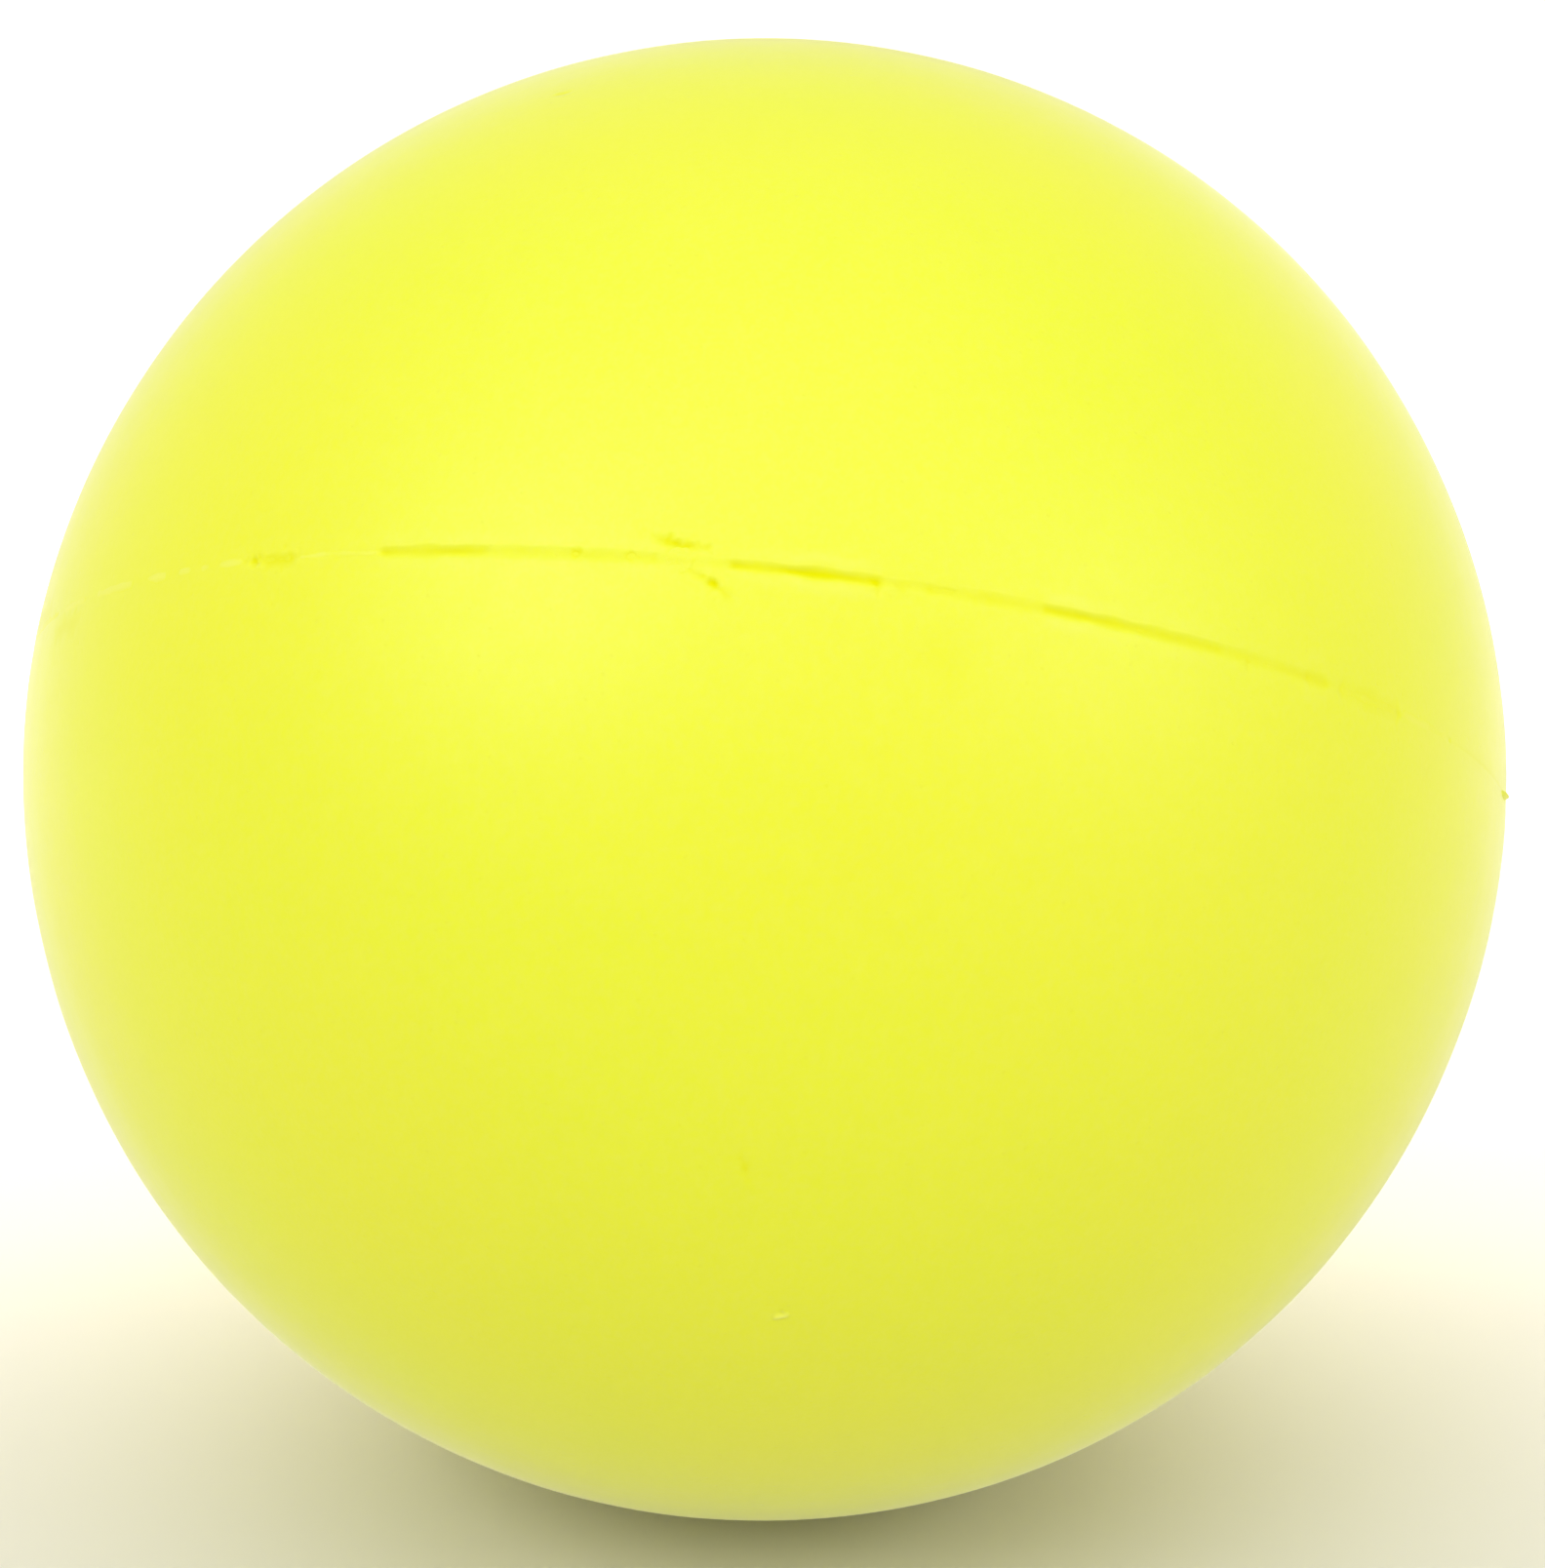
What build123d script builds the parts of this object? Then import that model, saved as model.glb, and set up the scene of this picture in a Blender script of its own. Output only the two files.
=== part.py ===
from build123d import *

import os
from math import asin, cos, degrees, radians, sin

# A soft pickleball ball with no holes: polyurethane foam moulded in one shot in
# a two-part mould. The foam sets to a light cellular core under a thin dense
# skin, and the skin shows where the two mould halves met.
#
# Frame, in mm: the origin is the ball's centre, +Z is up and -Y is the front.
# The ball is modelled as it lies on a table, with its parting plane tipped.
# A longitude is an angle round the parting line, in degrees: 0 is at the front
# and it grows towards the right.

# Driving dimensions
ball_diameter = 74.0
skin_thickness = 0.6

parting_lean_back = 27.2  # degrees that the mould axis leans from +Z towards +Y
parting_lean_right = 6.2  # and then towards +X

groove_width = 0.44  # the V between the two half skins, at the surface
groove_depth = 0.30
flash_crest_width = 0.16  # flat top of a strip of flash that stands proud

# How full of flash the groove is, as a share of its depth: 1 is level with the ball
low = 0.6
level = 1.05
ridge = 1.35
nib = 2.0

gate_diameter = 1.4
gate_longitude = -4.9
gate_proud = 0.04

# Where there is flash: first and last longitude, and how full the groove is there.
# The groove is open everywhere else.
flash_stretches = [
    (-68.5, -59.5, level),
    (-59.0, -34.5, ridge),
    (-33.5, -30.5, ridge),
    (-30.0, -23.5, level),
    (-16.7, -6.4, low),
    (-3.4, -1.8, low),
    (7.5, 16.5, level),
    (22.4, 23.3, level),
    (25.3, 26.1, level),
    (31.5, 33.2, level),
    (35.1, 36.2, level),
    (38.8, 45.3, ridge),
    (45.6, 52.4, level),
    (53.0, 66.0, ridge),
    (67.0, 69.5, nib),
    (74.0, 96.0, level),
    (101.0, 118.0, ridge),
    (124.0, 131.0, low),
    (139.0, 166.0, level),
    (172.0, 184.0, ridge),
    (193.0, 207.0, level),
    (214.0, 243.0, ridge),
    (249.0, 258.0, low),
    (263.0, 282.0, level),
]

# Worked out from them
ball_radius = ball_diameter / 2
core_radius = ball_radius - skin_thickness
groove_floor = ball_radius - groove_depth
lip_latitude = degrees(asin(groove_width / 2 / ball_radius))
lip_radius = ball_radius * cos(radians(lip_latitude))

parting_plane = Plane.XY.rotated((-parting_lean_back, parting_lean_right, 0))
mould_axis = Axis((0, 0, 0), parting_plane.z_dir)


def outward(longitude):
    """The direction from the ball's centre to a longitude on the parting line."""
    angle = radians(longitude)
    return parting_plane.x_dir * sin(angle) - parting_plane.y_dir * cos(angle)


def meridian_plane(longitude):
    """A plane through the mould axis: x points outward and y along the axis."""
    x_dir = outward(longitude)
    return Plane((0, 0, 0), x_dir=x_dir, z_dir=x_dir.cross(parting_plane.z_dir))


def flash_profile(filled):
    """The upper half of a strip's outline, from the groove's floor to its top."""
    share = min(filled, 1)
    flank_radius = groove_floor + share * (lip_radius - groove_floor)
    outline = [(groove_floor, 0), (flank_radius, share * groove_width / 2)]
    if filled > 1:
        outline.append((groove_floor + filled * groove_depth, flash_crest_width / 2))
    return outline


gate_plane = Plane((0, 0, 0), z_dir=outward(gate_longitude))

os.makedirs("parts", exist_ok=True)

# The light cellular foam inside
with BuildPart() as foam_core:
    Sphere(core_radius)

foam_core.part.label = "foam_core"
export_step(foam_core.part, "parts/foam_core.step")

# The dense skin that each mould half formed, with half of the groove and of the
# gate's hole at its edge
for name, side in (("skin_upper", 1), ("skin_lower", -1)):
    with BuildPart() as skin:
        with BuildSketch(meridian_plane(0)):
            with BuildLine():
                outside = CenterArc(
                    (0, 0), ball_radius, side * lip_latitude, side * (90 - lip_latitude)
                )
                inside = CenterArc((0, 0), core_radius, 0, side * 90)
                Line(outside @ 1, inside @ 1)
                Polyline(inside @ 0, (groove_floor, 0), outside @ 0)
            make_face()
        revolve(axis=mould_axis)
        with BuildSketch(gate_plane):
            Circle(gate_diameter / 2)
        extrude(amount=ball_diameter, mode=Mode.SUBTRACT)

    skin.part.label = name
    export_step(skin.part, f"parts/{name}.step")

# The dense plug left in the filling gate, on the parting line, trimmed just proud
with BuildPart() as gate_plug:
    with BuildSketch(gate_plane):
        Circle(gate_diameter / 2)
    extrude(amount=ball_diameter)
    Sphere(ball_radius + gate_proud, mode=Mode.INTERSECT)
    Sphere(core_radius, mode=Mode.SUBTRACT)

gate_plug.part.label = "gate_plug"
export_step(gate_plug.part, "parts/gate_plug.step")

# What trimming left of the fin that squeezed out between the mould halves:
# short strips in the groove
with BuildPart() as parting_flash:
    for first, last, filled in flash_stretches:
        upper = flash_profile(filled)
        lower = [(radius, -height) for radius, height in reversed(upper[1:])]
        with BuildSketch(meridian_plane(first)):
            with BuildLine():
                Polyline(*upper, *lower, close=True)
            make_face()
        revolve(axis=mould_axis, revolution_arc=last - first)

parting_flash.part.label = "parting_flash"
export_step(parting_flash.part, "parts/parting_flash.step")
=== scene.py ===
import math

import bmesh
import bpy
import numpy as np
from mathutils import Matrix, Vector


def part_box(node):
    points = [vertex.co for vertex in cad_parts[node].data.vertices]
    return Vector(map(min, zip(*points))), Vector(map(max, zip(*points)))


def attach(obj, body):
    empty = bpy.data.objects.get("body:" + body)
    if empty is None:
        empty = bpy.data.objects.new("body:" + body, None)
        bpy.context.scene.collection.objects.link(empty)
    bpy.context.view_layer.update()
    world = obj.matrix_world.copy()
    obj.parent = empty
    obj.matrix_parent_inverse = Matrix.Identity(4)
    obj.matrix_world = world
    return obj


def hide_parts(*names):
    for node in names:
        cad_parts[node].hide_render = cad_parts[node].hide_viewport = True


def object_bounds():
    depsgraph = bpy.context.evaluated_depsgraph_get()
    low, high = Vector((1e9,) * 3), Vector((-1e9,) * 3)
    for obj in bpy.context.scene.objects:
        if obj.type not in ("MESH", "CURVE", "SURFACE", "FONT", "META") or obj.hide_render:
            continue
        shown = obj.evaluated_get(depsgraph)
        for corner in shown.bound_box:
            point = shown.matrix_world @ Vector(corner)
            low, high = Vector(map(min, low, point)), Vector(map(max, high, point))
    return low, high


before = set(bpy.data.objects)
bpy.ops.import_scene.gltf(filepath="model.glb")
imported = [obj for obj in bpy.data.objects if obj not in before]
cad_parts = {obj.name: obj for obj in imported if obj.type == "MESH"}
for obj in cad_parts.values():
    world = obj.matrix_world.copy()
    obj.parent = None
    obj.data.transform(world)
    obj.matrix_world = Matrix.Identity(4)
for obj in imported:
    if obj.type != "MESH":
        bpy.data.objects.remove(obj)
cad_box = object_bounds()

# A soft foam pickleball ball on a pale studio floor. Shapes are worked out in mm
# and put into meshes in metres. A place on the ball is a longitude and latitude in
# degrees about the mould's axis: latitude 0 is the parting line, longitude 0 is its
# nearest point to the front, and longitude grows towards the right.

MM = 0.001
BALL_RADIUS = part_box("skin_upper")[1].x / MM
CORE_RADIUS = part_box("foam_core")[1].x / MM

# The mould's axis leans back from +Z, and then to the right, as in the CAD model
LEAN_BACK = math.radians(27.2)
LEAN_RIGHT = math.radians(6.2)
AXIS = np.array(
    [
        math.sin(LEAN_RIGHT),
        math.cos(LEAN_RIGHT) * math.sin(LEAN_BACK),
        math.cos(LEAN_RIGHT) * math.cos(LEAN_BACK),
    ]
)
RIGHT = np.array(
    [
        math.cos(LEAN_RIGHT),
        -math.sin(LEAN_RIGHT) * math.sin(LEAN_BACK),
        -math.sin(LEAN_RIGHT) * math.cos(LEAN_BACK),
    ]
)
FRONT = np.array([0.0, -math.cos(LEAN_BACK), math.sin(LEAN_BACK)])
FIRST_LONGITUDE = -74.0  # where the lists below start to go round
DEGREE = math.radians(1) * BALL_RADIUS  # mm on the surface for one degree
INSIDE_CAD = 0.10  # mm that the moulded surface lies inside the CAD's, for its bumps

# The groove between the half skins: first and last longitude, depth, half width and
# the height of its rolled lips, in mm. Elsewhere it has the usual values.
USUAL_GROOVE = (0.100, 0.29, 0.010)
GROOVES = [
    (-74.0, -59.2, 0.006, 0.18, 0.000),
    (-59.2, -34.2, 0.004, 0.18, 0.000),
    (-34.2, -32.6, 0.028, 0.26, 0.000),
    (-32.6, -30.2, 0.022, 0.30, 0.000),
    (-30.2, -23.6, 0.014, 0.18, 0.000),
    (-23.4, -16.7, 0.066, 0.32, 0.008),
    (-16.7, -6.4, 0.037, 0.35, 0.004),
    (-6.4, -1.9, 0.018, 0.28, 0.002),
    (-1.8, 1.6, 0.082, 0.28, 0.008),
    (1.6, 5.4, 0.114, 0.31, 0.018),
    (5.4, 6.7, 0.084, 0.33, 0.012),
    (6.7, 9.6, 0.022, 0.25, 0.000),
    (9.6, 16.7, 0.037, 0.37, 0.000),
    (16.7, 19.4, 0.088, 0.29, 0.014),
    (19.4, 22.9, 0.066, 0.31, 0.010),
    (22.9, 28.6, 0.060, 0.36, 0.005),
    (28.6, 35.8, 0.038, 0.37, 0.003),
    (35.8, 37.6, 0.048, 0.48, 0.004),
    (37.6, 39.0, 0.014, 0.26, 0.000),
    (39.0, 45.4, 0.030, 0.70, 0.000),
    (45.4, 52.6, 0.003, 0.18, 0.000),
    (52.6, 76.0, 0.008, 0.16, 0.000),
    (76.0, 96.0, 0.085, 0.28, 0.008),
    (101.0, 118.0, 0.060, 0.26, 0.004),
    (124.0, 131.0, 0.110, 0.30, 0.012),
    (139.0, 166.0, 0.085, 0.28, 0.008),
    (172.0, 184.0, 0.060, 0.26, 0.004),
    (193.0, 207.0, 0.085, 0.28, 0.008),
    (214.0, 243.0, 0.060, 0.26, 0.004),
    (249.0, 258.0, 0.110, 0.30, 0.012),
    (263.0, 286.0, 0.085, 0.28, 0.008),
]
GROOVE_BLEND = 0.45  # degrees either side of an end over which two stretches blend
DARKEST_DEPTH = 0.100  # mm under the surface, where the painted shade in the groove is as dark as it gets
FLATTENED = 0.008  # mm that the skin lies lower beside the parting line

# Strips of flash in the groove: first and last longitude, the height of their top
# over the ball's surface in mm, and the share of the groove's width that they fill
FLASH = [
    (-68.5, -59.5, 0.003, 1.20),
    (-57.6, -52.9, 0.012, 1.50),
    (-51.4, -45.8, 0.016, 1.50),
    (-44.5, -41.7, 0.016, 1.45),
    (-40.9, -39.1, 0.014, 1.40),
    (-38.6, -37.2, 0.010, 1.40),
    (-36.9, -34.1, 0.010, 1.30),
    (-33.2, -30.5, -0.050, 0.50),
    (-30.0, -23.5, 0.005, 0.90),
    (-16.7, -6.4, -0.050, 0.40),
    (-3.4, -1.8, -0.016, 0.50),
    (7.5, 16.5, -0.044, 0.40),
    (22.4, 23.3, -0.052, 0.50),
    (25.3, 26.1, -0.050, 0.50),
    (28.1, 28.5, -0.048, 0.50),
    (31.5, 33.2, -0.036, 0.50),
    (35.1, 36.0, -0.036, 0.50),
    (38.8, 45.3, -0.016, 0.34),
    (45.6, 52.4, 0.004, 1.60),
    (53.0, 66.0, -0.010, 0.60),
    (67.0, 69.5, 0.240, 1.00),
    (74.0, 96.0, -0.055, 0.50),
    (101.0, 118.0, 0.034, 1.15),
    (124.0, 131.0, -0.060, 0.60),
    (139.0, 166.0, -0.055, 0.50),
    (172.0, 184.0, 0.038, 1.15),
    (193.0, 207.0, -0.055, 0.50),
    (214.0, 243.0, 0.034, 1.15),
    (249.0, 258.0, -0.060, 0.60),
    (263.0, 282.0, -0.055, 0.50),
]
# A strip's cross-section has these points over its top, as shares of its half width,
# and one more at the groove's floor. The rest is in mm.
ACROSS_STRIP = np.array([-1.0, -0.82, -0.6, -0.3, 0.0, 0.3, 0.6, 0.82, 1.0])
STRIP_STEP = 0.09  # from one cross-section to the next
STRIP_TAPER = 0.35  # how far from its ends a strip has its full height
PALEST_CREST = 0.010  # height over the ball where a crest's painted highlight is at its palest
NIB_HEIGHT = 0.10  # a strip that stands higher than this is a nib with a blunt crown

# Small marks in the skin: from one longitude and latitude to another, half width
# and depth in mm, and how dark the painted shade in their hollow is. One of negative
# depth stands proud, and one of negative colour is pale.
MARKS = [
    # The edge of the gate's scar, above the parting line
    (-6.2, 1.18, -5.3, 1.00, 0.20, 0.038, 0.60),
    (-5.3, 1.00, -4.6, 0.90, 0.20, 0.034, 0.52),
    (-4.6, 0.90, -3.3, 0.94, 0.16, 0.028, 0.42),
    (-7.3, 1.50, -7.2, 1.55, 0.25, 0.008, 0.15),
    # The nick that runs down from it
    (-4.4, -0.50, -2.84, -1.18, 0.16, 0.024, 0.42),
    (-2.9, -1.15, -2.75, -1.25, 0.16, 0.046, 0.42),
    (-2.8, -1.25, -1.95, -1.90, 0.15, 0.024, 0.50),
    # Pits and ticks at the parting line
    (-11.1, 0.08, -11.1, 0.12, 0.14, 0.030, 0.85),
    (-7.8, 0.08, -7.8, 0.12, 0.14, 0.026, 0.75),
    (-33.5, 0.05, -33.3, -0.05, 0.19, 0.060, 0.70),
    (-32.1, -0.20, -30.6, -0.20, 0.28, 0.028, 0.50),
    (6.5, -0.15, 6.6, -0.62, 0.15, 0.026, 0.45),
    (7.6, -0.10, 8.1, -0.35, 0.13, 0.012, 0.25),
    (9.9, 0.00, 10.9, 0.00, 0.11, 0.024, 0.20),
    (30.8, -0.20, 30.8, -0.62, 0.09, 0.016, 0.30),
    # Soft hollows beside the parting line at the far left
    (-66.5, 0.95, -62.0, 1.00, 0.45, 0.012, 0.35),
    (-58.0, -1.35, -54.5, -1.40, 0.45, 0.012, 0.35),
    # A faint darker patch in a shallow hollow, a dent, a fleck and a nick further from it
    (10.4, -3.75, 11.0, -3.85, 0.80, 0.008, 0.20),
    (2.7, -35.00, 3.05, -35.70, 0.17, 0.030, 0.40),
    (3.05, -35.70, 3.45, -36.40, 0.14, 0.020, 0.28),
    (7.65, -46.72, 8.45, -46.42, 0.12, -0.090, -1.0),
    (-25.0, 41.10, -24.2, 41.30, 0.18, 0.030, 0.55),
    # Handling marks round the back and sides
    (112.0, 18.0, 114.5, 17.0, 0.15, 0.030, 0.50),
    (148.0, -24.0, 149.0, -25.6, 0.16, 0.035, 0.60),
    (171.0, 31.0, 171.6, 31.2, 0.20, 0.035, 0.50),
    (203.0, -8.0, 206.0, -9.5, 0.11, 0.025, 0.45),
    (236.0, 12.0, 236.4, 12.9, 0.16, 0.035, 0.60),
    (258.0, -31.0, 260.0, -30.4, 0.13, -0.045, -0.8),
    (90.0, -17.0, 90.5, -18.0, 0.15, 0.030, 0.50),
]

GATE_LONGITUDE = -4.9
GATE_SCAR_RADIUS = 0.55  # mm
GATE_RINGS, GATE_COLUMNS = 12, 72
GATE_NECK = 0.35  # mm under the ball's surface, where the plug's straight side begins

# The half skins' mesh, in mm
COLUMNS = 1920  # points round the parting line, most of them at the front
FRONT_SHARE = 2 / 3
FRONT_LAST = 76.0  # the longitude where the close columns end
FINEST_ROW = 0.03
WIDEST_ROW = 0.60
ROW_GROWTH = 1.12
FINE_BAND = 0.42  # the rows start to grow this far from the line
NARROWEST_FACE = 0.62  # a face narrower than this share of its row gets half the columns
MOST_HALVINGS = 6
# The skin's inside is plain, so it goes from its pole to the parting line in few
# rings: degrees from the line, and how many times the number of columns is halved
INNER_RINGS = [(84, 6), (72, 6), (60, 6), (48, 6), (36, 6), (26, 6), (17, 5), (10, 4)]
INNER_RINGS += [(5.5, 3), (2.5, 2), (1.0, 1), (0, 0)]
FINE_MARK = 0.3  # a narrower mark than this needs a finer mesh, away from the line
MARK_REACHES = (2.2, 1.5, 1.0)  # how far round a mark the mesh is divided, each time
FINEST_AT_MARKS = 0.13  # edges shorter than this aren't divided any more
SHARPEST_SMOOTH = math.radians(50)


def smooth_step(x):
    x = np.clip(x, 0, 1)
    return x * x * (3 - 2 * x)


def from_first(longitude):
    """The same longitudes, counted up from the first one."""
    return np.mod(longitude - FIRST_LONGITUDE, 360) + FIRST_LONGITUDE


def direction(longitude, latitude):
    """Unit vectors from the ball's centre."""
    lon = np.radians(longitude)[..., None]
    lat = np.radians(latitude)[..., None]
    level = np.sin(lon) * RIGHT + np.cos(lon) * FRONT
    return np.cos(lat) * level + np.sin(lat) * AXIS


def on_ball(unit):
    """Longitude and latitude of unit vectors."""
    longitude = np.degrees(np.arctan2(unit @ RIGHT, unit @ FRONT))
    latitude = np.degrees(np.arcsin(np.clip(unit @ AXIS, -1, 1)))
    return from_first(longitude), latitude


def ripple(points, size, seed, waves=20):
    """Smooth unevenness of about -1 to 1 with bumps about this many mm across."""
    random = np.random.default_rng(seed)
    total = np.zeros(len(points))
    for _ in range(waves):
        way = random.normal(size=3)
        way *= math.pi / (size * random.uniform(0.75, 1.4) * np.linalg.norm(way))
        total += np.cos(points @ way + random.uniform(0, 2 * math.pi))
    return total / math.sqrt(waves)


def wander(longitude, size, seed, waves=14):
    """The same along the parting line, closed round the ball."""
    random = np.random.default_rng(seed)
    turns = math.pi * BALL_RADIUS / size
    total = np.zeros(np.shape(longitude))
    for _ in range(waves):
        count = round(turns * random.uniform(0.6, 1.4))
        total += np.cos(
            count * np.radians(longitude) + random.uniform(0, 2 * math.pi)
        )
    return total / math.sqrt(waves)


def groove_at(longitude):
    """Depth, half width and lip height of the groove, in mm."""
    values = [np.full(np.shape(longitude), usual) for usual in USUAL_GROOVE]
    for first, last, *stretch in GROOVES:
        share = smooth_step((longitude - first + GROOVE_BLEND) / (2 * GROOVE_BLEND))
        share = share * smooth_step(
            (last + GROOVE_BLEND - longitude) / (2 * GROOVE_BLEND)
        )
        values = [old + (new - old) * share for old, new in zip(values, stretch)]
    depth, half_width, lip = values
    depth = depth * np.clip(1 + 0.15 * wander(longitude, 1.6, 11), 0.3, 1.6)
    half_width = half_width * np.clip(1 + 0.09 * wander(longitude, 1.1, 12), 0.5, 1.5)
    return depth, half_width, lip * (1 + 0.5 * wander(longitude, 2.2, 13))


def distance_to_mark(longitude, latitude, mark):
    """How far each point is from the mark's line, in mm."""
    lon_0, lat_0, lon_1, lat_1 = mark[:4]
    across = DEGREE * math.cos(math.radians((lat_0 + lat_1) / 2))
    x, y = (longitude - lon_0) * across, (latitude - lat_0) * DEGREE
    run, rise = (lon_1 - lon_0) * across, (lat_1 - lat_0) * DEGREE
    length = max(run * run + rise * rise, 1e-9)
    share = np.clip((x * run + y * rise) / length, 0, 1)
    return np.hypot(x - share * run, y - share * rise)


def groove_wall(share):
    """Depth across the groove, from 1 in its middle to 0 at its lip."""
    return 0.5 + 0.5 * np.cos(math.pi * np.clip(np.abs(share), 0, 1))


def ball_surface(unit):
    """Radius of the ball in mm, uneven as moulded foam is, without its line and marks."""
    points = unit * BALL_RADIUS
    uneven = 0.030 * ripple(points, 14, 21) + 0.006 * ripple(points, 3.2, 22, waves=30)
    return BALL_RADIUS - INSIDE_CAD + uneven


def darkness(depth):
    """How dark the painted shade is at a depth in mm, from 0 to 1."""
    return np.clip(depth / DARKEST_DEPTH, 0, 1)


def skin_surface(unit, side):
    """Radius of the skin's outside in mm, its painted shade, and its paleness: painted
    highlight on the lips and pale marks.
    """
    longitude, latitude = on_ball(unit)
    points = unit * BALL_RADIUS
    from_line = np.abs(latitude) * DEGREE
    radius = ball_surface(unit)

    # The two mould halves don't meet quite level
    step = 0.010 * wander(longitude, 9, 23) * (1 - np.exp(-from_line / 0.25))
    radius += side * step * np.exp(-from_line / 2.5)

    depth, half_width, lip = groove_at(longitude)
    in_groove = groove_wall(from_line / half_width)
    radius -= depth * in_groove
    on_lip = np.exp(-(((from_line - half_width * 1.7) / 0.25) ** 2))
    radius += lip * on_lip
    # Painted shade in the groove, darkest where the groove is deep
    crevice = darkness(depth) * in_groove**0.9
    # Painted highlight on the groove's rolled lips
    pale = np.clip(lip / 0.06, 0, 1) * on_lip

    # The mould's edge left a soft, slightly flattened band beside the line
    radius -= FLATTENED * np.exp(-((from_line / 0.9) ** 2))

    for mark in MARKS:
        half, sunk, dark = mark[4:]
        distance = distance_to_mark(longitude, latitude, mark)
        near = distance < 4 * half
        ragged = 1 + 0.3 * ripple(points[near], half * 0.9, 24)
        close = distance[near] / half * ragged
        inside = np.exp(-(close**2))
        rim = np.exp(-3 * (close - 1.9) ** 2)
        radius[near] -= sunk * (inside - 0.2 * rim)
        # Painted shade in each mark's hollow; a mark of negative colour is made pale instead
        crevice[near] += max(dark, 0) * inside
        pale[near] += max(-dark, 0) * inside
    return radius, np.clip(crevice, 0, 1), np.clip(pale, 0, 1)


def new_mesh_object(name, vertices, faces, body="root"):
    mesh = bpy.data.meshes.new(name)
    mesh.from_pydata([tuple(v) for v in np.asarray(vertices) * MM], [], faces)
    mesh.validate()
    piece = bpy.data.objects.new(name, mesh)
    bpy.context.scene.collection.objects.link(piece)
    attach(piece, body)
    return piece


def shade_smooth(piece):
    """Smooth shading that stops at the rims, where the faces fold over."""
    piece.data.polygons.foreach_set("use_smooth", [True] * len(piece.data.polygons))
    piece.data.set_sharp_from_angle(angle=SHARPEST_SMOOTH)
    piece.data.update()


def give_values(piece, **values):
    """Adds named numbers to the mesh's points, for its material to read."""
    for name, numbers in values.items():
        attribute = piece.data.attributes.new(name, "FLOAT", "POINT")
        attribute.data.foreach_set("value", np.asarray(numbers, np.float32))


def stitch(lower, upper):
    """Faces between two rings of points, where one may have half as many as the other."""
    n, m = len(lower), len(upper)
    faces = []
    if n == m:
        for i in range(n):
            j = (i + 1) % n
            faces.append((lower[i], lower[j], upper[j], upper[i]))
    elif n > m:
        for i in range(m):
            j, k = (i + 1) % m, 2 * i
            a, b, c = lower[k], lower[k + 1], lower[(k + 2) % n]
            faces += [(a, b, upper[i]), (b, upper[j], upper[i]), (b, c, upper[j])]
    else:
        for i in range(n):
            j, k = (i + 1) % n, 2 * i
            a, b, c = upper[k], upper[k + 1], upper[(k + 2) % m]
            faces += [(lower[i], b, a), (lower[i], lower[j], b), (lower[j], c, b)]
    return faces


def skin_rings():
    """Distance from the parting line in mm and number of halvings, for each ring outside."""
    pole = 90 * DEGREE
    column = (FRONT_LAST - FIRST_LONGITUDE) * DEGREE / (COLUMNS * FRONT_SHARE)
    rings, along, row, halvings = [(0.0, 0)], 0.0, FINEST_ROW, 0
    while along + row < pole - WIDEST_ROW / 2:
        along += row
        if along > FINE_BAND:
            row = min(row * ROW_GROWTH, WIDEST_ROW)
        wide = column * 2**halvings * math.cos(along / BALL_RADIUS)
        if wide < NARROWEST_FACE * row and halvings < MOST_HALVINGS:
            halvings += 1
        rings.append((along, halvings))
    return rings


def build_skin(name, side):
    share = np.arange(COLUMNS) / COLUMNS
    last = FIRST_LONGITUDE + 360
    columns = np.interp(
        share, [0, FRONT_SHARE, 1], [FIRST_LONGITUDE, FRONT_LAST, last]
    )
    pole = AXIS[None, :] * side
    blocks, rings, faces, count = [pole * CORE_RADIUS], [[0]], [], 1
    plan = [(deg, halvings, CORE_RADIUS) for deg, halvings in INNER_RINGS]
    plan += [(along / DEGREE, halvings, BALL_RADIUS) for along, halvings in skin_rings()]
    for degrees_up, halvings, radius in plan:
        longitudes = columns[:: 2**halvings]
        latitudes = np.full(len(longitudes), degrees_up * side)
        blocks.append(direction(longitudes, latitudes) * radius)
        rings.append(list(range(count, count + len(longitudes))))
        count += len(longitudes)
    blocks.append(pole * BALL_RADIUS)
    rings.append([count])

    for lower, upper in zip(rings, rings[1:]):
        if len(lower) == 1:
            ends = zip(upper, upper[1:] + upper[:1])
            faces += [(lower[0], b, a) for a, b in ends]
        elif len(upper) == 1:
            ends = zip(lower, lower[1:] + lower[:1])
            faces += [(a, b, upper[0]) for a, b in ends]
        else:
            faces += stitch(lower, upper)
    if side < 0:
        faces = [tuple(reversed(face)) for face in faces]
    piece = new_mesh_object(name, np.concatenate(blocks), faces)
    refine_at_marks(piece, side)

    points = np.empty(len(piece.data.vertices) * 3)
    piece.data.vertices.foreach_get("co", points)
    points = points.reshape(-1, 3) / MM
    far = np.linalg.norm(points, axis=1)
    outer = far > (CORE_RADIUS + BALL_RADIUS) / 2
    unit = points[outer] / far[outer, None]
    radius, crevice, pale = skin_surface(unit, side)
    points[outer] = unit * radius[:, None]
    piece.data.vertices.foreach_set("co", (points * MM).ravel())
    for key, numbers in {"crevice": crevice, "pale": pale}.items():
        whole = np.zeros(len(points))
        whole[outer] = numbers
        give_values(piece, **{key: whole})
    shade_smooth(piece)
    return piece


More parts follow.
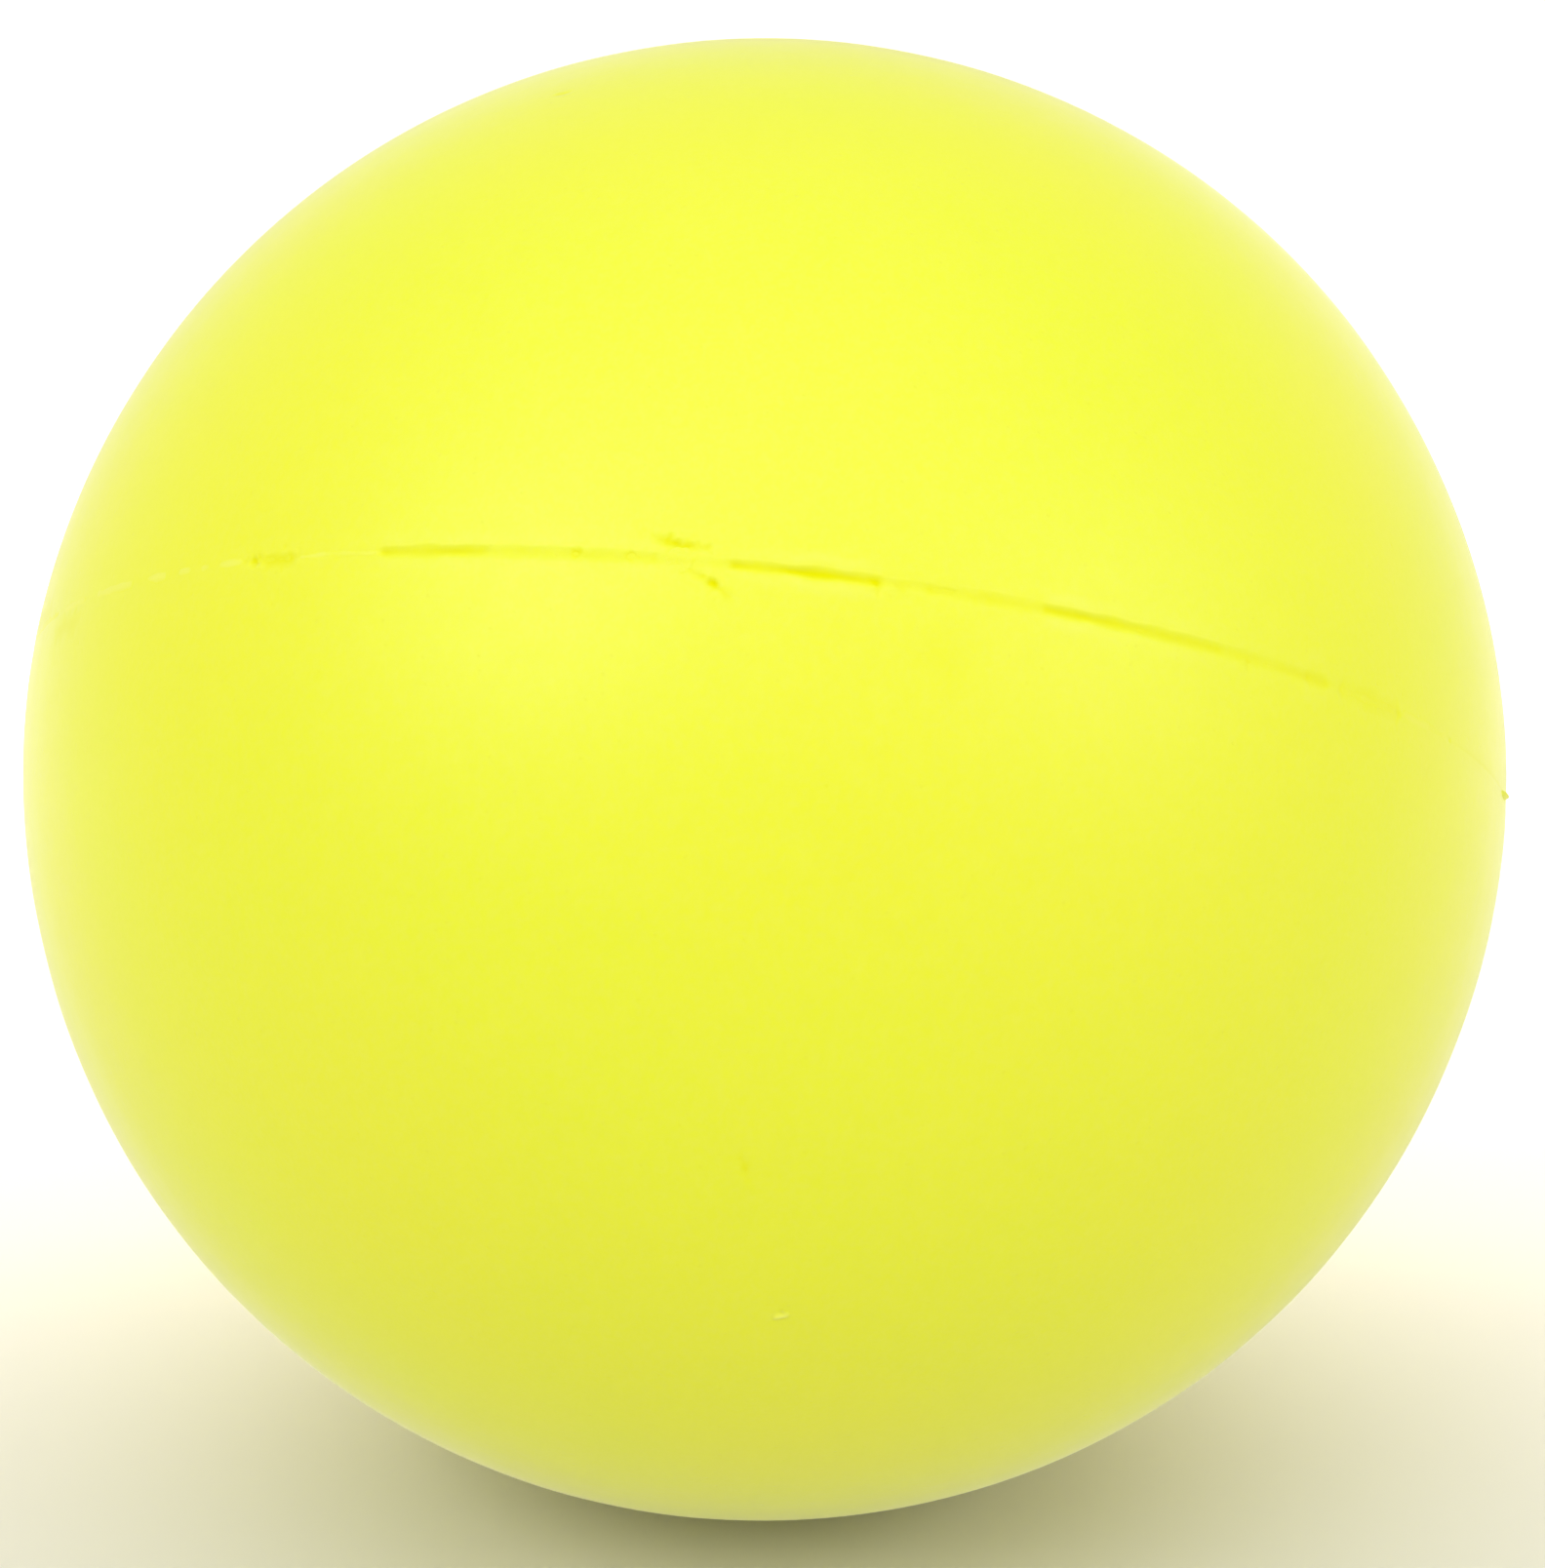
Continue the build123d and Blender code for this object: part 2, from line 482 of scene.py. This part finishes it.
def refine_at_marks(piece, side):
    """Divides the mesh near each narrow mark that is away from the fine rows."""
    mesh = bmesh.new()
    mesh.from_mesh(piece.data)
    for mark in MARKS:
        lon_0, lat_0, lon_1, lat_1, half = mark[:5]
        if half > FINE_MARK or abs(lat_0) < 2.5 or lat_0 * side < 0:
            continue
        ends = direction(np.array([lon_0, lon_1]), np.array([lat_0, lat_1]))
        middle = Vector(ends.mean(0) * BALL_RADIUS * MM)
        long_way = np.linalg.norm(ends[1] - ends[0]) * BALL_RADIUS / 2
        for reach in MARK_REACHES:
            limit = (long_way + reach) * MM
            edges = [
                edge
                for edge in mesh.edges
                if edge.calc_length() > FINEST_AT_MARKS * MM
                and all((v.co - middle).length < limit for v in edge.verts)
            ]
            bmesh.ops.subdivide_edges(mesh, edges=edges, cuts=1, use_grid_fill=True)
    mesh.to_mesh(piece.data)
    mesh.free()


def build_flash():
    """Strips of flash, each a closed sliver with an uneven crest and tapered ends."""
    round_it = len(ACROSS_STRIP) + 1
    vertices, faces, crest, sunk = [], [], [], []
    for number, (first, last, height, fill) in enumerate(FLASH):
        count = max(int((last - first) * DEGREE / STRIP_STEP), 6)
        longitude = np.linspace(first, last, count)
        depth, half_width, _ = groove_at(from_first(longitude))
        ends = np.minimum(longitude - first, last - longitude) * DEGREE
        taper = smooth_step(ends / STRIP_TAPER)
        # The ball's surface beside the line, as if there were no groove
        ground = ball_surface(direction(longitude, np.zeros(count))) - FLATTENED
        uneven = wander(longitude, 0.7, 31 + number)
        coarse = wander(longitude, 2.6, 71 + number)
        rough = 0.003 + 0.20 * abs(height)
        top = height + rough * (0.6 * uneven + 0.5 * coarse)
        top = top * taper - (1 - taper) * (depth + 0.010)
        half = half_width * fill * (0.55 + 0.45 * taper) * (1 + 0.12 * uneven)
        sway = 0.020 * wander(longitude, 1.8, 111 + number)
        crown = groove_wall(ACROSS_STRIP) ** (0.5 if height > NIB_HEIGHT else 1.0)
        start = len(vertices)
        for i in range(count):
            s = ACROSS_STRIP * half[i]
            wall = depth[i] * groove_wall(s / half_width[i])
            edge = ground[i] - wall - 0.006
            radius = np.minimum(edge, ground[i] + top[i])
            radius = radius + (ground[i] + top[i] - radius) * crown
            section = direction(np.full(len(s), longitude[i]), (s + sway[i]) / DEGREE)
            vertices += list(section * radius[:, None])
            floor = direction(longitude[i : i + 1], sway[i : i + 1] / DEGREE)
            vertices.append(floor[0] * (ground[i] - depth[i] - 0.03))
            # The crest's painted highlight, and painted shade where the strip lies below the
            # ball's surface
            crest += list(np.clip(crown * top[i] / PALEST_CREST, 0, 1)) + [0.0]
            sunk += list(darkness(ground[i] - radius)) + [1.0]
        for i in range(count - 1):
            a, b = start + round_it * i, start + round_it * (i + 1)
            for k in range(round_it):
                m = (k + 1) % round_it
                faces.append((a + k, b + k, b + m, a + m))
        faces.append(tuple(range(start, start + round_it)))
        end = start + round_it * (count - 1)
        faces.append(tuple(reversed(range(end, end + round_it))))
    piece = new_mesh_object("parting_flash_strips", vertices, faces)
    give_values(piece, crest=crest, crevice=sunk)
    shade_smooth(piece)
    return piece


def build_gate():
    """The plug in the filling gate, from the foam to its knife-cut scar."""
    centre = direction(np.array([GATE_LONGITUDE]), np.array([0.0]))[0]
    east = np.cross(AXIS, centre)
    angles = np.linspace(0, 2 * math.pi, GATE_COLUMNS, endpoint=False)
    random = np.random.default_rng(41)
    edge = np.ones(GATE_COLUMNS)
    for waves in (2, 3, 5, 7, 11):
        edge += 0.05 / waves**0.5 * np.cos(waves * angles + random.uniform(0, 6.3))
    blocks, pits = [], []
    for ring in range(GATE_RINGS + 1):
        share = ring / GATE_RINGS
        x = GATE_SCAR_RADIUS * share * edge * np.cos(angles)
        y = GATE_SCAR_RADIUS * share * edge * np.sin(angles)
        unit = centre + (x[:, None] * east + y[:, None] * AXIS) / BALL_RADIUS
        unit /= np.linalg.norm(unit, axis=1)[:, None]
        # Knife marks run across the scar, and its rim is rounded over
        cut = 0.006 * np.sin((x * 0.8 + y * 0.6) * 21) * np.sin((x - y) * 5 + 1)
        pit = np.exp(-(((x + 0.13) / 0.15) ** 2) - ((y + 0.26) / 0.11) ** 2)
        line = 0.55 * np.exp(-((y / 0.15) ** 2))
        rim = max(share - 0.8, 0) / 0.2
        radius = ball_surface(unit) - 0.004 + 0.35 * cut
        radius = radius - 0.02 * pit - 0.006 * line - 0.02 * rim**2
        blocks.append(unit * radius[:, None])
        # Painted shade in the scar's pit and along its line
        pits.append(np.clip(0.75 * pit + 0.5 * line, 0, 1))
    blocks += [unit * (BALL_RADIUS - GATE_NECK), unit * CORE_RADIUS]
    pits += [np.ones(GATE_COLUMNS)] * 2
    vertices = np.concatenate(blocks)
    faces = []
    for ring in range(len(blocks) - 1):
        inner = [ring * GATE_COLUMNS + i for i in range(GATE_COLUMNS)]
        outer = [i + GATE_COLUMNS for i in inner]
        faces += stitch(outer, inner)
    faces.append(tuple(range((len(blocks) - 1) * GATE_COLUMNS, len(vertices))))
    piece = new_mesh_object("gate_scar", vertices, faces)
    # The innermost ring is a single point, so its copies are merged
    mesh = bmesh.new()
    mesh.from_mesh(piece.data)
    bmesh.ops.remove_doubles(mesh, verts=mesh.verts, dist=1e-7)
    bmesh.ops.recalc_face_normals(mesh, faces=mesh.faces)
    mesh.to_mesh(piece.data)
    mesh.free()
    points = np.array([v.co for v in piece.data.vertices]) / MM
    values = np.concatenate(pits)
    nearest = [int(np.argmin(((vertices - p) ** 2).sum(1))) for p in points]
    give_values(piece, crevice=values[nearest])
    shade_smooth(piece)
    return piece


def build_core():
    """The foam inside, with the shallow open cells of its outermost layer."""
    mesh = bmesh.new()
    bmesh.ops.create_icosphere(mesh, subdivisions=6, radius=1.0)
    unit = np.array([v.co[:] for v in mesh.verts])
    unit /= np.linalg.norm(unit, axis=1)[:, None]
    points = unit * CORE_RADIUS
    cells = ripple(points, 1.6, 51, waves=40)
    radius = CORE_RADIUS - 0.06 - 0.05 * np.clip(cells, -1, 1.5)
    radius -= 0.03 * ripple(points, 8, 52)
    for vertex, place in zip(mesh.verts, unit * np.minimum(radius, CORE_RADIUS)[:, None]):
        vertex.co = place * MM
    data = bpy.data.meshes.new("foam_core_cells")
    mesh.to_mesh(data)
    mesh.free()
    piece = bpy.data.objects.new("foam_core_cells", data)
    bpy.context.scene.collection.objects.link(piece)
    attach(piece, "root")
    shade_smooth(piece)
    return piece


class Recipe:
    """A node material, built one node at a time."""

    def __init__(self, name):
        self.material = bpy.data.materials.new(name)
        self.material.use_nodes = True
        self.tree = self.material.node_tree
        self.tree.nodes.clear()

    def add(self, kind, inputs=None, **settings):
        node = self.tree.nodes.new(kind)
        for key, value in settings.items():
            setattr(node, key, value)
        for key, value in (inputs or {}).items():
            if isinstance(value, bpy.types.NodeSocket):
                self.tree.links.new(value, node.inputs[key])
            else:
                node.inputs[key].default_value = value
        return node

    def in_mm(self):
        place = self.add("ShaderNodeTexCoord").outputs["Object"]
        scale = self.add(
            "ShaderNodeMapping", {"Vector": place, "Scale": (1 / MM, 1 / MM, 1 / MM)}
        )
        return scale.outputs["Vector"]

    def noise(self, place, per_mm, detail=2.0, roughness=0.5):
        inputs = {
            "Vector": place,
            "Scale": per_mm,
            "Detail": detail,
            "Roughness": roughness,
        }
        return self.add("ShaderNodeTexNoise", inputs).outputs["Fac"]

    def remap(self, value, low, high, to_low=0.0, to_high=1.0):
        inputs = {
            "Value": value,
            "From Min": low,
            "From Max": high,
            "To Min": to_low,
            "To Max": to_high,
        }
        return self.add("ShaderNodeMapRange", inputs).outputs["Result"]

    def math(self, operation, a, b):
        node = self.add("ShaderNodeMath", {0: a, 1: b}, operation=operation)
        return node.outputs["Value"]

    def mix(self, share, a, b):
        node = self.add(
            "ShaderNodeMix", {0: share, 6: a, 7: b}, data_type="RGBA", blend_type="MIX"
        )
        return node.outputs[2]

    def value(self, name):
        node = self.add("ShaderNodeAttribute", attribute_name=name)
        return node.outputs["Fac"]

    def bump(self, height, distance_mm, strength=1.0, normal=None):
        inputs = {"Height": height, "Distance": distance_mm * MM, "Strength": strength}
        if normal is not None:
            inputs["Normal"] = normal
        return self.add("ShaderNodeBump", inputs).outputs["Normal"]

    def finish(self, **inputs):
        named = {key.replace("_", " "): value for key, value in inputs.items()}
        shader = self.add("ShaderNodeBsdfPrincipled", named)
        self.add("ShaderNodeOutputMaterial", {"Surface": shader.outputs["BSDF"]})
        return self.material


YELLOW = (0.912, 0.955, 0.002, 1)
YELLOW_GREENER = (0.900, 0.960, 0.000, 1)
YELLOW_WARMER = (0.922, 0.947, 0.004, 1)
# The colour of painted shade in the groove, the marks, the pores and the gate's pits; the
# gate's knife marks are tinted a little towards it too
YELLOW_DEEP = (0.855, 0.842, 0.000, 1)
# Used for pale mottles and pale marks, and as painted highlight on the groove's lips and the
# flash's crests
YELLOW_PALE = (0.950, 0.975, 0.130, 1)
FOAM = (0.85, 0.88, 0.10, 1)
# The foam's painted shade in its cells
FOAM_DEEP = (0.62, 0.64, 0.03, 1)
FOAM_PALE = (0.90, 0.88, 0.16, 1)
PAPER = (0.785, 0.760, 0.735, 1)
PAPER_DARKER = (0.775, 0.750, 0.725, 1)
GLOSS = 0.75
GLOSS_IN_GROOVE = 0.02  # the groove and the marks are too narrow to mirror any light
SHEEN = 0.60
SHEEN_ROUGHNESS = 0.32
SHEEN_TINT = (1.0, 1.0, 0.95, 1.0)


def mottled(recipe, colour, *mottles):
    """The colour with pale mottles, each given as a noise and its greatest share."""
    for noise, share in mottles:
        colour = recipe.mix(recipe.remap(noise, 0.40, 0.65, 0, share), colour, YELLOW_PALE)
    return colour


def deepened(recipe, colour):
    """The colour darkened by painted shade, drawn in towards the middle of the groove and of
    each mark.
    """
    core = recipe.math("POWER", recipe.value("crevice"), 1.5)
    return recipe.mix(core, colour, YELLOW_DEEP)


def gloss(recipe):
    return recipe.remap(recipe.value("crevice"), 0, 1, GLOSS, GLOSS_IN_GROOVE)


def skin_material():
    recipe = Recipe("skin_polyurethane")
    place = recipe.in_mm()
    clouds = recipe.noise(place, 0.07, 3, 0.55)
    flow = recipe.noise(place, 0.9, 4, 0.6)
    grain = recipe.noise(place, 2.6, 3, 0.6)
    speck = recipe.noise(place, 4.5, 2, 0.5)
    pores = recipe.add(
        "ShaderNodeTexVoronoi", {"Vector": place, "Scale": 1.15, "Randomness": 1.0}
    ).outputs["Distance"]
    pore = recipe.remap(pores, 0.11, 0.04)

    colour = recipe.mix(
        recipe.remap(clouds, 0.35, 0.65), YELLOW_GREENER, YELLOW_WARMER
    )
    colour = recipe.mix(recipe.remap(flow, 0.45, 0.75, 0, 0.35), colour, YELLOW)
    colour = mottled(recipe, colour, (flow, 0.04), (grain, 0.10), (speck, 0.12))
    # Painted shade in the pores
    colour = recipe.mix(recipe.math("MULTIPLY", pore, 0.15), colour, YELLOW_DEEP)
    colour = deepened(recipe, colour)
    # Painted highlight on the groove's lips, and the pale marks
    pale = recipe.math("MULTIPLY", recipe.value("pale"), 0.90)
    colour = recipe.mix(pale, colour, YELLOW_PALE)
    rough = recipe.remap(flow, 0.3, 0.7, 0.47, 0.55)
    rough = recipe.math("ADD", rough, recipe.remap(grain, 0.3, 0.7, -0.03, 0.03))
    rough = recipe.math("ADD", rough, recipe.remap(recipe.value("crevice"), 0, 1, 0, 0.2))
    fine = recipe.bump(grain, 0.010, 0.5)
    fine = recipe.bump(flow, 0.016, 0.6, fine)
    fine = recipe.bump(recipe.remap(pore, 0, 1, 1, 0), 0.012, 0.6, fine)
    return recipe.finish(
        Base_Color=colour,
        Roughness=rough,
        Normal=fine,
        Specular_IOR_Level=gloss(recipe),
        Sheen_Weight=SHEEN,
        Sheen_Roughness=SHEEN_ROUGHNESS,
        Sheen_Tint=SHEEN_TINT,
    )


def flash_material():
    recipe = Recipe("flash_polyurethane")
    place = recipe.in_mm()
    flow = recipe.noise(place, 1.6, 4, 0.6)
    grain = recipe.noise(place, 7.0, 3, 0.6)
    colour = recipe.mix(recipe.remap(flow, 0.35, 0.7), YELLOW_WARMER, YELLOW)
    colour = mottled(recipe, colour, (grain, 0.25))
    colour = deepened(recipe, colour)
    # Painted highlight on the flash's crests
    pale = recipe.math("MULTIPLY", recipe.value("crest"), 0.62)
    colour = recipe.mix(pale, colour, YELLOW_PALE)
    rough = recipe.remap(grain, 0.3, 0.7, 0.50, 0.66)
    fine = recipe.bump(grain, 0.012, 0.7)
    fine = recipe.bump(flow, 0.02, 0.7, fine)
    return recipe.finish(
        Base_Color=colour,
        Roughness=rough,
        Normal=fine,
        Specular_IOR_Level=gloss(recipe),
        Sheen_Weight=0.40,
        Sheen_Roughness=SHEEN_ROUGHNESS,
    )


def gate_material():
    recipe = Recipe("gate_polyurethane")
    place = recipe.in_mm()
    flow = recipe.noise(place, 2.2, 4, 0.6)
    grain = recipe.noise(place, 8.0, 3, 0.6)
    cut = recipe.add(
        "ShaderNodeTexWave",
        {"Vector": place, "Scale": 2.4, "Distortion": 3.0, "Detail": 2.0},
        bands_direction="DIAGONAL",
    ).outputs["Fac"]
    colour = recipe.mix(recipe.remap(flow, 0.35, 0.7), YELLOW, YELLOW_WARMER)
    colour = mottled(recipe, colour, (grain, 0.25))
    colour = recipe.mix(recipe.math("MULTIPLY", cut, 0.06), colour, YELLOW_DEEP)
    # Painted shade in the scar's pit and along its line
    deep = recipe.math("MULTIPLY", recipe.value("crevice"), 0.8)
    colour = recipe.mix(deep, colour, YELLOW_DEEP)
    rough = recipe.remap(grain, 0.3, 0.7, 0.46, 0.56)
    fine = recipe.bump(grain, 0.010, 0.5)
    fine = recipe.bump(cut, 0.006, 0.4, fine)
    return recipe.finish(
        Base_Color=colour,
        Roughness=rough,
        Normal=fine,
        Specular_IOR_Level=gloss(recipe),
        Sheen_Weight=SHEEN,
        Sheen_Roughness=SHEEN_ROUGHNESS,
        Sheen_Tint=SHEEN_TINT,
    )


def foam_material():
    recipe = Recipe("foam_cells")
    place = recipe.in_mm()
    cells = recipe.add(
        "ShaderNodeTexVoronoi", {"Vector": place, "Scale": 1.9, "Randomness": 1.0}
    ).outputs["Distance"]
    small = recipe.add(
        "ShaderNodeTexVoronoi", {"Vector": place, "Scale": 5.5, "Randomness": 1.0}
    ).outputs["Distance"]
    flow = recipe.noise(place, 0.25, 3, 0.55)
    # Painted shade in the middle of each cell, where the bump dips
    colour = recipe.mix(recipe.remap(cells, 0.15, 0.55), FOAM_DEEP, FOAM)
    colour = recipe.mix(recipe.remap(flow, 0.35, 0.65, 0, 0.4), colour, FOAM_PALE)
    rough = recipe.remap(small, 0.1, 0.6, 0.75, 0.92)
    fine = recipe.bump(cells, 0.20, 0.8)
    fine = recipe.bump(small, 0.07, 0.7, fine)
    return recipe.finish(
        Base_Color=colour, Roughness=rough, Normal=fine, Specular_IOR_Level=0.25
    )


def paint(piece, material):
    piece.data.materials.clear()
    piece.data.materials.append(material)


skin_look = skin_material()
for node, side in (("skin_upper", 1), ("skin_lower", -1)):
    skin = build_skin(node + "_moulded", side)
    paint(skin, skin_look)
    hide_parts(node)

flash = build_flash()
paint(flash, flash_material())
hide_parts("parting_flash")

gate = build_gate()
paint(gate, gate_material())
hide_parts("gate_plug")

core = build_core()
paint(core, foam_material())
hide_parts("foam_core")

# Studio: a pale floor that sweeps up into a wall all round

FLOOR_Z = cad_box[0].z
FLOOR_RINGS = (0.0, 0.15, 0.4, 0.6)  # metres from the middle
SWEEP_RADIUS = 0.4
SWEEP_STEPS = 12
WALL_TOP = 1.2
FLOOR_COLUMNS = 96


def build_floor():
    profile = [(reach, 0.0) for reach in FLOOR_RINGS]
    for step in range(1, SWEEP_STEPS + 1):
        angle = math.radians(90 * step / SWEEP_STEPS)
        reach = FLOOR_RINGS[-1] + SWEEP_RADIUS * math.sin(angle)
        profile.append((reach, SWEEP_RADIUS * (1 - math.cos(angle))))
    profile.append((FLOOR_RINGS[-1] + SWEEP_RADIUS, WALL_TOP))
    vertices = [(0, 0, FLOOR_Z)]
    for reach, height in profile[1:]:
        for i in range(FLOOR_COLUMNS):
            angle = 2 * math.pi * i / FLOOR_COLUMNS
            x, y = reach * math.cos(angle), reach * math.sin(angle)
            vertices.append((x, y, FLOOR_Z + height))
    faces = [(0, 1 + i, 1 + (i + 1) % FLOOR_COLUMNS) for i in range(FLOOR_COLUMNS)]
    for ring in range(len(profile) - 2):
        a, b = 1 + ring * FLOOR_COLUMNS, 1 + (ring + 1) * FLOOR_COLUMNS
        for i in range(FLOOR_COLUMNS):
            j = (i + 1) % FLOOR_COLUMNS
            faces.append((a + i, b + i, b + j, a + j))
    mesh = bpy.data.meshes.new("studio_floor")
    mesh.from_pydata(vertices, [], faces)
    floor = bpy.data.objects.new("studio_floor", mesh)
    bpy.context.scene.collection.objects.link(floor)
    shade_smooth(floor)
    recipe = Recipe("studio_paper")
    place = recipe.in_mm()
    soft = recipe.noise(place, 0.01, 2, 0.5)
    colour = recipe.mix(soft, PAPER_DARKER, PAPER)
    paint(floor, recipe.finish(Base_Color=colour, Roughness=0.9, Specular_IOR_Level=0.2))


def soft_box(name, place, target, width, height, strength, colour):
    """A rectangular light at a place, in metres from the ball's centre, and its aim."""
    data = bpy.data.lights.new(name, "AREA")
    data.shape = "RECTANGLE"
    data.size, data.size_y = width, height
    data.energy = strength
    data.color = colour
    light = bpy.data.objects.new(name, data)
    light.location = place
    way = Vector(place) - Vector(target)
    light.rotation_euler = way.to_track_quat("Z", "Y").to_euler()
    light.visible_camera = False
    bpy.context.scene.collection.objects.link(light)


def around(azimuth, elevation, distance):
    """A place round the ball. Azimuth 0 is the front and 90 the right."""
    az, el = math.radians(azimuth), math.radians(elevation)
    level = distance * math.cos(el)
    return (math.sin(az) * level, -math.cos(az) * level, distance * math.sin(el))


build_floor()
BALL = (0.0, 0.0, 0.0)
COOL = (0.92, 1.0, 1.0)
COOLER = (0.90, 1.0, 1.5)
PLAIN = (0.98, 1.0, 1.0)
WARM = (0.96, 1.0, 0.88)
soft_box("light_overhead", around(0, 84, 0.60), BALL, 0.50, 0.50, 0.23, COOL)
soft_box("light_top_front", around(0, 50, 0.60), BALL, 0.60, 0.36, 0.42, COOLER)
soft_box("light_left", around(-40, 36, 0.50), BALL, 0.22, 0.22, 0.625, PLAIN)
soft_box("light_right", around(54, 26, 0.50), BALL, 0.22, 0.22, 0.465, PLAIN)
# This one lights the sweep behind the ball, and shines away from the ball itself
place, target = (0, 0.16, 0.30), (0, 0.55, 0.06)
soft_box("light_backdrop", place, target, 0.70, 0.16, 6.8, (1.06, 1, 0.94))

world = bpy.data.worlds.new("studio_air")
world.use_nodes = True
air = world.node_tree.nodes["Background"]
air.inputs["Color"].default_value = (*WARM, 1)
air.inputs["Strength"].default_value = 0.64
bpy.context.scene.world = world
bpy.context.scene.view_settings.view_transform = "Standard"

# Camera: close to the ball, 15 degrees above level, straight at its front
ELEVATION = math.radians(15)
DISTANCE = 3.328 * BALL_RADIUS * MM
back = Vector((0, -math.cos(ELEVATION), math.sin(ELEVATION)))
camera_data = bpy.data.cameras.new("camera")
camera_data.lens = 54.2
camera_data.sensor_width = 36.0
camera_data.shift_x = 0.0050
camera_data.shift_y = -0.0029
camera_data.clip_start = 0.005
camera_data.clip_end = 10
camera = bpy.data.objects.new("camera", camera_data)
camera.location = back * DISTANCE
camera.rotation_euler = back.to_track_quat("Z", "Y").to_euler()
bpy.context.scene.collection.objects.link(camera)
bpy.context.scene.camera = camera
